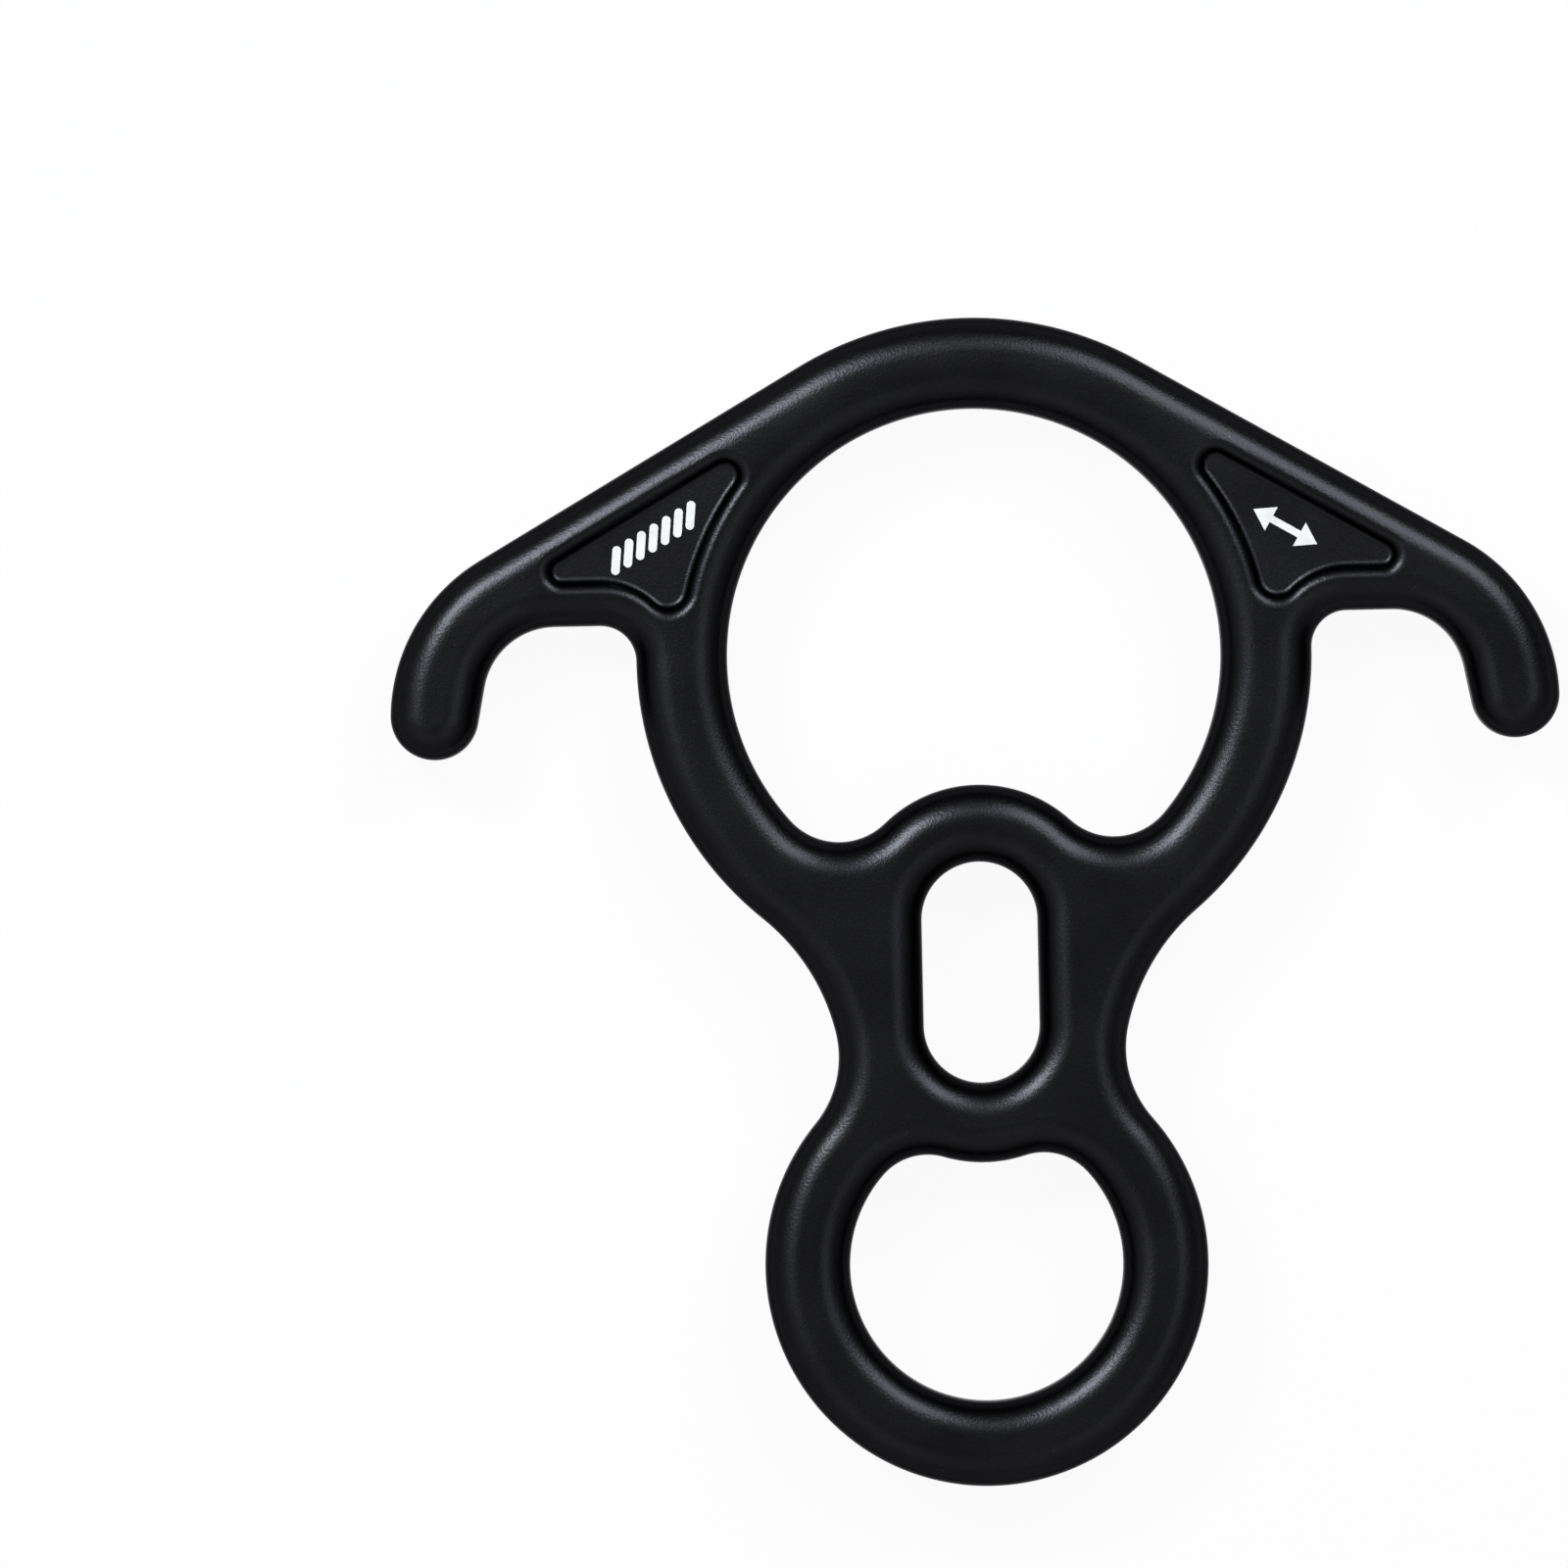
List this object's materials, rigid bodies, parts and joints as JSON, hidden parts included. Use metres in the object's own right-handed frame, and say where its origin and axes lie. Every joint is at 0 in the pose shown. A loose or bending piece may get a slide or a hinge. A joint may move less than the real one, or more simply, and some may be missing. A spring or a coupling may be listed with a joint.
{
  "type": "figure eight descender",
  "caption": "Forged rescue figure eight with hooked ears: a large ring for the rope, a stop slot in the neck and a small eye for a carabiner.",
  "frame": {"origin": "middle of the footprint, on the back face that the body lies on", "axes": "+X towards the right ear, +Y from the small eye towards the large ring, +Z out of the front face that carries the prints"},
  "size_m": [0.15, 0.15, 0.014],
  "materials": {
    "black_anodised_aluminium": "satin",
    "white_ink": "matte"
  },
  "bodies": {
    "root": {"forged_body": "black_anodised_aluminium", "left_ear_print": "white_ink", "right_ear_print": "white_ink"}
  },
  "joints": []
}
